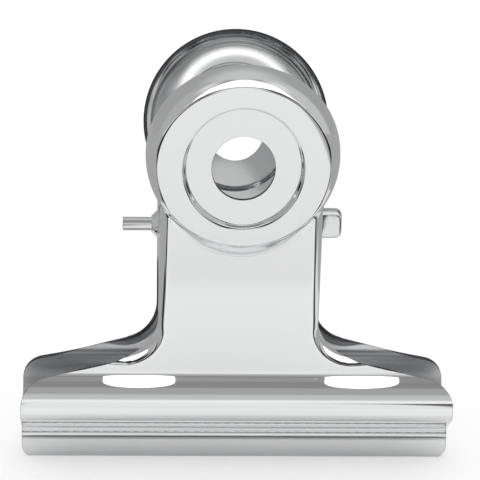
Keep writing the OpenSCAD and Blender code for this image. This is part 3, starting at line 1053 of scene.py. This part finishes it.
def studio_world():
    """White for the camera and for soft light; in the metal, a grey studio with its lamps and flags."""
    world = bpy.data.worlds.new("studio")
    bpy.context.scene.world = world
    world.use_nodes = True
    n = Nodes(world.node_tree)
    back = world.node_tree.nodes["Background"]
    coord = n.put("ShaderNodeTexCoord")
    split = n.put("ShaderNodeSeparateXYZ")
    n.join(coord.outputs["Generated"], split.inputs[0])
    x, y, z = split.outputs
    # degrees round from the front, and degrees up
    turn = n.sum("MULTIPLY", n.sum("ARCTAN2", x, n.sum("MULTIPLY", y, -1.0)), 180 / math.pi)
    up = n.sum("MULTIPLY", n.sum("ARCSINE", z), 180 / math.pi)
    # walls, and a paler ceiling
    level = n.fade(up, 42, 78, 0.38, 0.60)

    def panel(level, t0, t1, u0, u1, bright, soft=4.0):
        """Lays a soft-edged panel from t0 to t1 round and u0 to u1 up over the studio."""
        mask = n.fade(turn, t0 - soft, t0 + soft)
        mask = n.sum("MULTIPLY", mask, n.fade(turn, t1 - soft, t1 + soft, 1.0, 0.0))
        mask = n.sum("MULTIPLY", mask, n.fade(up, u0 - soft, u0 + soft))
        mask = n.sum("MULTIPLY", mask, n.fade(up, u1 - soft, u1 + soft, 1.0, 0.0))
        keep = n.sum("MULTIPLY", level, n.sum("SUBTRACT", 1.0, mask))
        return n.sum("ADD", keep, n.sum("MULTIPLY", mask, bright))

    level = panel(level, 45, 100, -40, 64, 0.58, 6)      # pale wall on the right
    level = panel(level, -95, -52, -40, 60, 0.45, 8)     # left wall, nearer the front
    level = panel(level, -46, 44, 44, 70, 0.27)          # dark ceiling over the camera
    level = panel(level, -46, 44, 22, 46, 0.40)          # wall behind the camera
    level = panel(level, -20, 16, 8, 25, 0.58)
    level = panel(level, -18, 14, -40, 9, 0.95, 3)       # bright window below it
    level = panel(level, -72, -50, 44, 62, 0.75, 8)      # softbox, left
    level = panel(level, 48, 72, 44, 62, 0.8, 8)         # softbox, right
    level = panel(level, 16, 46, -2, 44, 0.04)           # black flag, right
    level = panel(level, -44, -16, -2, 44, 0.04)         # black flag, left
    path = n.put("ShaderNodeLightPath")
    glossy = path.outputs["Is Glossy Ray"]
    camera = path.outputs["Is Camera Ray"]
    even = n.sum("MULTIPLY", n.sum("SUBTRACT", 1.0, glossy), 0.95)
    soft = n.sum("ADD", n.sum("MULTIPLY", level, glossy), even)
    shown = n.sum("ADD", n.sum("MULTIPLY", soft, n.sum("SUBTRACT", 1.0, camera)), camera)
    n.join(shown, back.inputs["Strength"])
    back.inputs["Color"].default_value = (1, 1, 1, 1)
    return world


def pale_floor():
    """Pale for the camera; in the metal, a white sheet with a black border on a grey floor."""
    mesh = bpy.data.meshes.new("floor")
    mesh.from_pydata([(-3, -3, 0), (3, -3, 0), (3, 3, 0), (-3, 3, 0)], [], [(0, 1, 2, 3)])
    floor = bpy.data.objects.new("floor", mesh)
    bpy.context.scene.collection.objects.link(floor)
    m = bpy.data.materials.new("pale_floor")
    m.use_nodes = True
    n = Nodes(m.node_tree)
    b = m.node_tree.nodes["Principled BSDF"]
    b.inputs["Roughness"].default_value = 0.9
    b.inputs["Specular IOR Level"].default_value = 0.0
    coord = n.put("ShaderNodeTexCoord")
    split = n.put("ShaderNodeSeparateXYZ")
    n.join(coord.outputs["Object"], split.inputs[0])
    x, y = (n.sum("MULTIPLY", split.outputs[i], 1000.0) for i in (0, 1))

    def sheet(x0, x1, y0, y1, soft=1.5):
        mask = n.fade(x, x0 - soft, x0 + soft)
        mask = n.sum("MULTIPLY", mask, n.fade(x, x1 - soft, x1 + soft, 1.0, 0.0))
        mask = n.sum("MULTIPLY", mask, n.fade(y, y0 - soft, y0 + soft))
        return n.sum("MULTIPLY", mask, n.fade(y, y1 - soft, y1 + soft, 1.0, 0.0))

    def laid(level, mask, bright):
        keep = n.sum("MULTIPLY", level, n.sum("SUBTRACT", 1.0, mask))
        return n.sum("ADD", keep, n.sum("MULTIPLY", mask, bright))

    grey, pale, white, far, black = 0.43, 0.84, 0.94, 0.93, 0.02
    level = laid(grey, sheet(-48, 70, -26, 40), pale)
    # black borders, which draw the dark lines down the neck
    level = laid(level, sheet(-44, -30, -110, -30), black)
    level = laid(level, sheet(38, 50, -62, 6), black)
    level = laid(level, sheet(-52, -39, -30, 6), black)
    # the white sheet before the front face, the floor far beyond it, and a strip behind the rear face
    level = laid(level, sheet(-34, 37, -152, 40), white)
    level = laid(level, sheet(-500, 500, -3000, -150), far)
    level = laid(level, sheet(-14, 14, 38, 90, 1.0), white)
    # wide black fields at the sides, which draw the edge of the disc
    level = laid(level, sheet(42, 160, -600, -64), black)
    level = laid(level, sheet(-160, -42, -600, -64), black)
    path = n.put("ShaderNodeLightPath")
    glossy = path.outputs["Is Glossy Ray"]
    camera = path.outputs["Is Camera Ray"]
    level = laid(n.sum("MULTIPLY", level, glossy), n.sum("SUBTRACT", 1.0, glossy), 0.92)
    level = laid(level, camera, 0.60)
    mix = n.put("ShaderNodeCombineColor")
    for i in range(3):
        n.join(level, mix.inputs[i])
    n.join(mix.outputs[0], b.inputs["Base Color"])
    b.inputs["Emission Color"].default_value = (1, 1, 1, 1)
    # a little more light from the sheet next to the jaw
    lit = n.sum("MULTIPLY", n.sum("MULTIPLY", glossy, sheet(-40, 44, -40, -17.5, 2.5)), 0.09)
    n.join(n.sum("ADD", n.sum("MULTIPLY", camera, 0.45), lit), b.inputs["Emission Strength"])
    mesh.materials.append(m)
    return floor


def lamp(name, start, end, shine, depth, shape="RECTANGLE"):
    """A small lamp whose one side runs from start to end, seen in the metal only."""
    start, end = Vector(start), Vector(end)
    x, z = (end - start).normalized(), -Vector(shine).normalized()
    y = z.cross(x).normalized()
    data = bpy.data.lights.new(name, "AREA")
    data.shape = shape
    data.size, data.size_y = (end - start).length * MM, depth * MM
    data.energy = math.pi * data.size * data.size_y
    o = bpy.data.objects.new(name, data)
    bpy.context.scene.collection.objects.link(o)
    o.rotation_mode = "QUATERNION"
    o.rotation_quaternion = Matrix((x, y, x.cross(y))).transposed().to_quaternion()
    o.location = ((start + end) / 2 + y * (depth / 2)) * MM
    o.visible_camera = o.visible_diffuse = False


def studio_lamps():
    """A row of lamps bent over the disc and one over each shoulder."""
    def taper(degrees):
        return abs(degrees / LAMP_SPAN) ** 1.6

    def corner(degrees):
        a = math.radians(degrees)
        return handle(LAMP_R * math.sin(a), 0.8 + 5.2 * taper(degrees), DISC_UP + LAMP_R * math.cos(a))

    step = 8
    for i in range(13):
        low = -52 + step * i
        middle = low + step / 2
        a = math.radians(middle)
        lamp(f"disc_lamp_{i}", corner(low + step), corner(low),
             handle_turn((-math.sin(a), 0, -math.cos(a))), 5.4 * (1 - taper(middle)))
    for side, x0, x1 in (("left", -19.6, -8.9), ("right", 13.3, 24.4)):
        lamp(side + "_shoulder_lamp", (x0, -15.2, 20.5), (x1, -15.2, 20.5), (0, 0, -1), 10.6, "ELLIPSE")


studio_lamps()
world = studio_world()
floor = pale_floor()

CAM_AZ, CAM_EL, CAM_ROLL = math.radians(2.671), math.radians(13.202), math.radians(0.965)
pivot = Vector((0.346 * MM, 0, 32.935 * MM))
away = Vector((-math.sin(CAM_AZ) * math.cos(CAM_EL),
               -math.cos(CAM_AZ) * math.cos(CAM_EL), math.sin(CAM_EL)))
cam_data = bpy.data.cameras.new("camera")
cam_data.sensor_width = 36
cam_data.lens = 36 * 3069.5 / 480
cam_data.clip_start = 0.01
cam = bpy.data.objects.new("camera", cam_data)
bpy.context.scene.collection.objects.link(cam)
look = (-away).to_track_quat("-Z", "Y")
cam.rotation_mode = "QUATERNION"
cam.rotation_quaternion = look @ Quaternion((0, 0, 1), CAM_ROLL)
cam.location = pivot + away * 0.450
bpy.context.scene.camera = cam
bpy.context.scene.view_settings.view_transform = "Standard"
